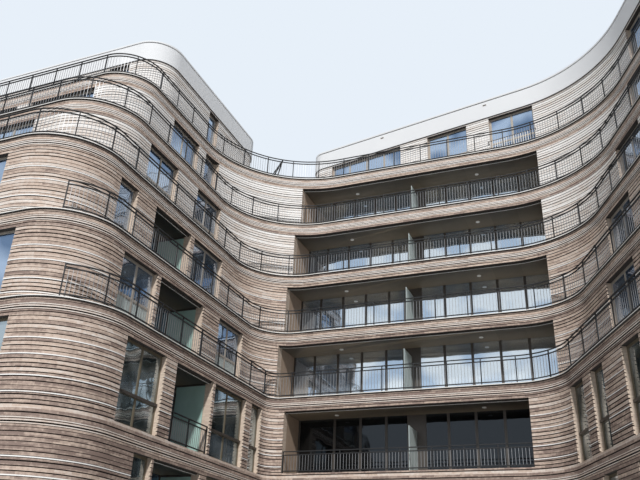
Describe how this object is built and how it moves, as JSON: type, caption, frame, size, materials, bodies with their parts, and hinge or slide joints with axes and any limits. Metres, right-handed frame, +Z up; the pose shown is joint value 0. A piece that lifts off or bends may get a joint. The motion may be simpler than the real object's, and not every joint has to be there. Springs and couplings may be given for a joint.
{
  "type": "apartment block",
  "caption": "Stepped brick apartment block around a courtyard, with rounded ledges, railings, loggias and white-crowned roof pavilions.",
  "frame": {"origin": "on the ground, under the middle of the court block, on the line from its front ledge to its rear wall", "axes": "+X along the court block, to the right seen from the court; +Y into the block, away from the court; +Z up"},
  "size_m": [39.62, 23.96, 25.55],
  "materials": {
    "concrete": "fair-faced concrete",
    "brown_brick": "long brown brick with thin cream courses",
    "pale_brick": "long cream brick with thin brown courses",
    "reveal_brick": "smooth beige brick",
    "white_coping": "smooth white coping",
    "white_render": "smooth white render",
    "railing_metal": "matte anthracite",
    "frame_metal": "matte dark bronze",
    "glazing": "clear glass in dark bronze frames",
    "frosted_glass": "frosted",
    "ceiling_panel": "matte beige-brown panels"
  },
  "bodies": {
    "root": {"ground_slab": "concrete", "first_floor": "concrete", "second_floor": "concrete", "third_floor": "concrete", "fourth_floor": "concrete", "fifth_floor": "concrete", "sixth_floor": "concrete", "seventh_floor": "concrete", "ground_wall": "brown_brick", "first_wall": "brown_brick", "second_wall": "brown_brick", "third_wall": "pale_brick", "fourth_wall": "pale_brick", "fifth_wall": "pale_brick", "sixth_wall": "pale_brick", "left_pavilion_wall": "pale_brick", "right_pavilion_wall": "pale_brick", "third_ledge": "white_coping", "fourth_ledge": "white_coping", "fifth_ledge": "white_coping", "sixth_ledge": "white_coping", "seventh_ledge": "white_coping", "third_railing": "railing_metal", "fourth_railing": "railing_metal", "fifth_railing": "railing_metal", "sixth_railing": "railing_metal", "seventh_railing": "railing_metal", "ground_windows": "glazing", "first_windows": "glazing", "second_windows": "glazing", "third_windows": "glazing", "fourth_windows": "glazing", "fifth_windows": "glazing", "sixth_windows": "glazing", "seventh_windows": "glazing", "left_roof": "concrete", "right_roof": "concrete", "left_crown": "white_render", "right_crown": "white_render", "loggia_cheeks": "reveal_brick", "loggia_piers": "frame_metal", "loggia_soffits": "ceiling_panel", "loggia_screens": "frosted_glass", "loggia_rails": "railing_metal", "entrance_door": "frame_metal"}
  },
  "joints": []
}
